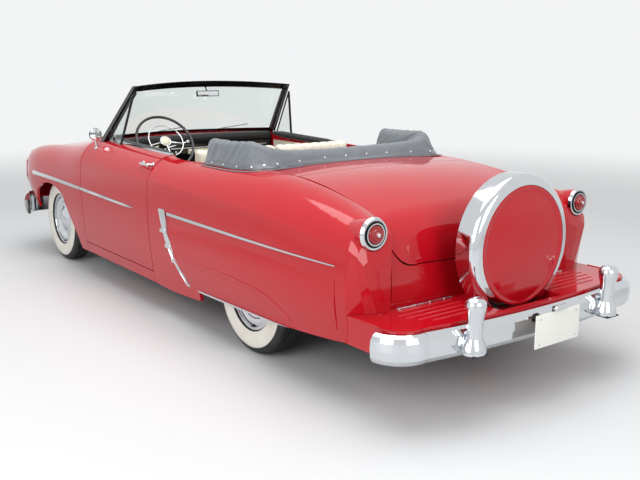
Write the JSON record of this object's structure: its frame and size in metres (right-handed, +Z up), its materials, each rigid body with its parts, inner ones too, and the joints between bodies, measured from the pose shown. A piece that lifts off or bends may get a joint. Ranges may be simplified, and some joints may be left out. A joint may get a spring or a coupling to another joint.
{
  "type": "convertible car",
  "caption": "Two-door convertible car with its top folded, opening doors, hood and trunk lid, steered front wheels and an upright rear spare that tilts.",
  "frame": {"origin": "on the ground, below the middle of the car's length and width", "axes": "+X towards the nose, +Y to the car's left, +Z up"},
  "size_m": [5.2945, 1.8738, 1.4944],
  "materials": {
    "red_paint": "gloss",
    "chrome": "mirror polish",
    "tyre": "matte with a white band",
    "wheel_cover": "mirror polish",
    "black_steel": "satin",
    "clear_glass": "clear",
    "red_lens": "gloss",
    "cream_vinyl": "satin",
    "grey_vinyl": "satin",
    "cast_engine": "satin",
    "floor_paint": "matte",
    "plate_paint": "satin",
    "black_paint": "gloss",
    "black_plastic": "gloss"
  },
  "bodies": {
    "body": {"body_trim": "chrome", "chassis_frame": "black_steel", "cowl": "red_paint", "dashboard": "black_paint", "engine_block": "cast_engine", "extension_pan": "red_paint", "floor_pan": "floor_paint", "front_bumper": "chrome", "front_fender_left": "red_paint", "front_fender_right": "red_paint", "front_seat": "cream_vinyl", "grille": "chrome", "guard_feet": "black_steel", "headlamp_lenses": "clear_glass", "inner_aprons": "black_steel", "interior_mirror": "black_paint", "licence_plate": "plate_paint", "nose_panel": "red_paint", "quarter_left": "red_paint", "quarter_right": "red_paint", "rear_bumper": "chrome", "rear_deck": "red_paint", "rear_panel": "red_paint", "rear_seat": "cream_vinyl", "rockers": "red_paint", "running_gear": "black_steel", "skirt_strips": "chrome", "skirts": "red_paint", "taillight_lenses": "red_lens", "top_boot": "grey_vinyl", "underbody": "black_steel", "windshield_frame": "black_paint", "windshield_glass": "clear_glass"},
    "door_left": {"door_left": "red_paint", "door_trim_left": "chrome", "vent_glass_left": "clear_glass", "vent_frame_left": "black_paint", "side_mirror_left": "chrome"},
    "door_right": {"door_right": "red_paint", "door_trim_right": "chrome", "vent_glass_right": "clear_glass", "vent_frame_right": "black_paint"},
    "hood": {"hood": "red_paint"},
    "deck_lid": {"deck_lid": "red_paint"},
    "spare_mount": {"spare_carrier": "black_steel", "spare_tyre": "tyre", "spare_disc": "red_paint", "spare_band": "chrome"},
    "knuckle_left": {"knuckle_left": "black_steel"},
    "knuckle_right": {"knuckle_right": "black_steel"},
    "steering_wheel": {"steering_wheel": "black_plastic"},
    "wheel_front_left": {"tyre_front_left": "tyre", "wheel_front_left": "wheel_cover"},
    "wheel_rear_left": {"tyre_rear_left": "tyre", "wheel_rear_left": "wheel_cover"},
    "wheel_front_right": {"tyre_front_right": "tyre", "wheel_front_right": "wheel_cover"},
    "wheel_rear_right": {"tyre_rear_right": "tyre", "wheel_rear_right": "wheel_cover"}
  },
  "joints": [
    {"name": "door_left_hinge", "type": "hinge", "parent": "body", "child": "door_left", "pos_m": [1.0495, 0.915, 0.6], "axis": [0, 0, -1], "range_deg": [0, 65]},
    {"name": "door_right_hinge", "type": "hinge", "parent": "body", "child": "door_right", "pos_m": [1.0495, -0.915, 0.6], "axis": [0, 0, 1], "range_deg": [0, 65]},
    {"name": "hood_hinge", "type": "hinge", "parent": "body", "child": "hood", "pos_m": [1.2785, 0, 1.071], "axis": [0, -1, 0], "range_deg": [0, 45]},
    {"name": "deck_lid_hinge", "type": "hinge", "parent": "body", "child": "deck_lid", "pos_m": [-1.3995, 0, 1.053], "axis": [0, 1, 0], "range_deg": [0, 50]},
    {"name": "spare_tilt", "type": "hinge", "parent": "body", "child": "spare_mount", "pos_m": [-2.4645, 0, 0.435], "axis": [0, -1, 0], "range_deg": [0, 35]},
    {"name": "steer_left", "type": "hinge", "parent": "body", "child": "knuckle_left", "pos_m": [1.7935, 0.64, 0.345], "axis": [0, 0, 1], "range_deg": [-28, 28]},
    {"name": "steer_right", "type": "hinge", "parent": "body", "child": "knuckle_right", "pos_m": [1.7935, -0.64, 0.345], "axis": [0, 0, 1], "range_deg": [-28, 28]},
    {"name": "steering_wheel_turn", "type": "hinge", "parent": "body", "child": "steering_wheel", "pos_m": [0.5725, 0.43, 1.06], "axis": [-0.8, 0, 0.6], "range_deg": [-672, 672]},
    {"name": "spin_front_left", "type": "hinge", "parent": "knuckle_left", "child": "wheel_front_left", "pos_m": [1.7935, 0.7365, 0.345], "axis": [0, 1, 0], "continuous": true},
    {"name": "spin_rear_left", "type": "hinge", "parent": "body", "child": "wheel_rear_left", "pos_m": [-1.1275, 0.711, 0.345], "axis": [0, 1, 0], "continuous": true},
    {"name": "spin_front_right", "type": "hinge", "parent": "knuckle_right", "child": "wheel_front_right", "pos_m": [1.7935, -0.7365, 0.345], "axis": [0, 1, 0], "continuous": true},
    {"name": "spin_rear_right", "type": "hinge", "parent": "body", "child": "wheel_rear_right", "pos_m": [-1.1275, -0.711, 0.345], "axis": [0, 1, 0], "continuous": true}
  ],
  "couplings": [
    {"joint": "steer_right", "follows": "steer_left", "ratio": 1},
    {"joint": "steering_wheel_turn", "follows": "steer_left", "ratio": 24}
  ]
}
